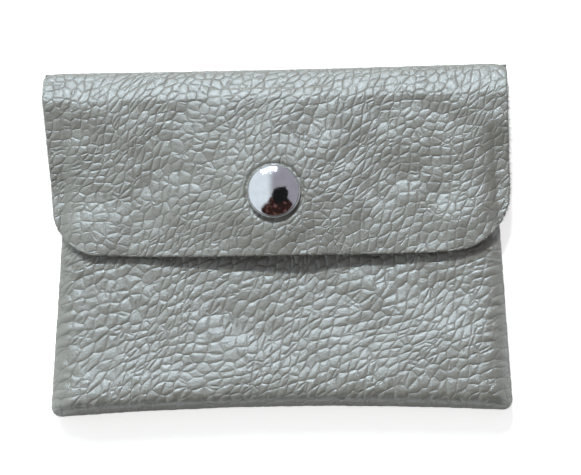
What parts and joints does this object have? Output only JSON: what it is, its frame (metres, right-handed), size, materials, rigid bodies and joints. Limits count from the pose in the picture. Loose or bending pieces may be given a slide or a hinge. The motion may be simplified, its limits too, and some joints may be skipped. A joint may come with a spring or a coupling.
{
  "type": "leather coin purse",
  "caption": "Soft leather coin purse on its back: turned side and bottom seams, a fold-over flap with round corners, and a chromed snap that holds the flap shut.",
  "frame": {"origin": "Middle of the flat face of the back that the purse lies on.", "axes": "+X across the purse, +Y from the bottom seam to the fold of the flap, +Z out of the front, through the snap."},
  "size_m": [0.11, 0.0818, 0.0153],
  "materials": {
    "leather": "pebbled full grain with a soft gloss, sage grey",
    "chrome": "polished",
    "nickel": "nickel plated, slightly dull",
    "spring_steel": "drawn wire"
  },
  "bodies": {
    "pouch": {"back_panel": "leather", "front_panel": "leather", "snap_stud": "nickel", "stud_post": "nickel"},
    "fold": {"flap_fold": "leather"},
    "flap": {"flap_panel": "leather", "cap_shell": "chrome", "cap_post": "nickel", "snap_socket": "nickel", "socket_spring": "spring_steel"}
  },
  "joints": [
    {"name": "fold_hinge", "type": "hinge", "parent": "pouch", "child": "fold", "pos_m": [0, 0.03944, 0.00156], "axis": [-1, 0, 0], "range_deg": [0, 85]},
    {"name": "flap_hinge", "type": "hinge", "parent": "fold", "child": "flap", "pos_m": [0, 0.03944, 0.00909], "axis": [-1, 0, 0], "range_deg": [0, 85], "deforming": ["socket_spring"]}
  ],
  "couplings": [
    {"joint": "flap_hinge", "follows": "fold_hinge", "ratio": 1}
  ]
}
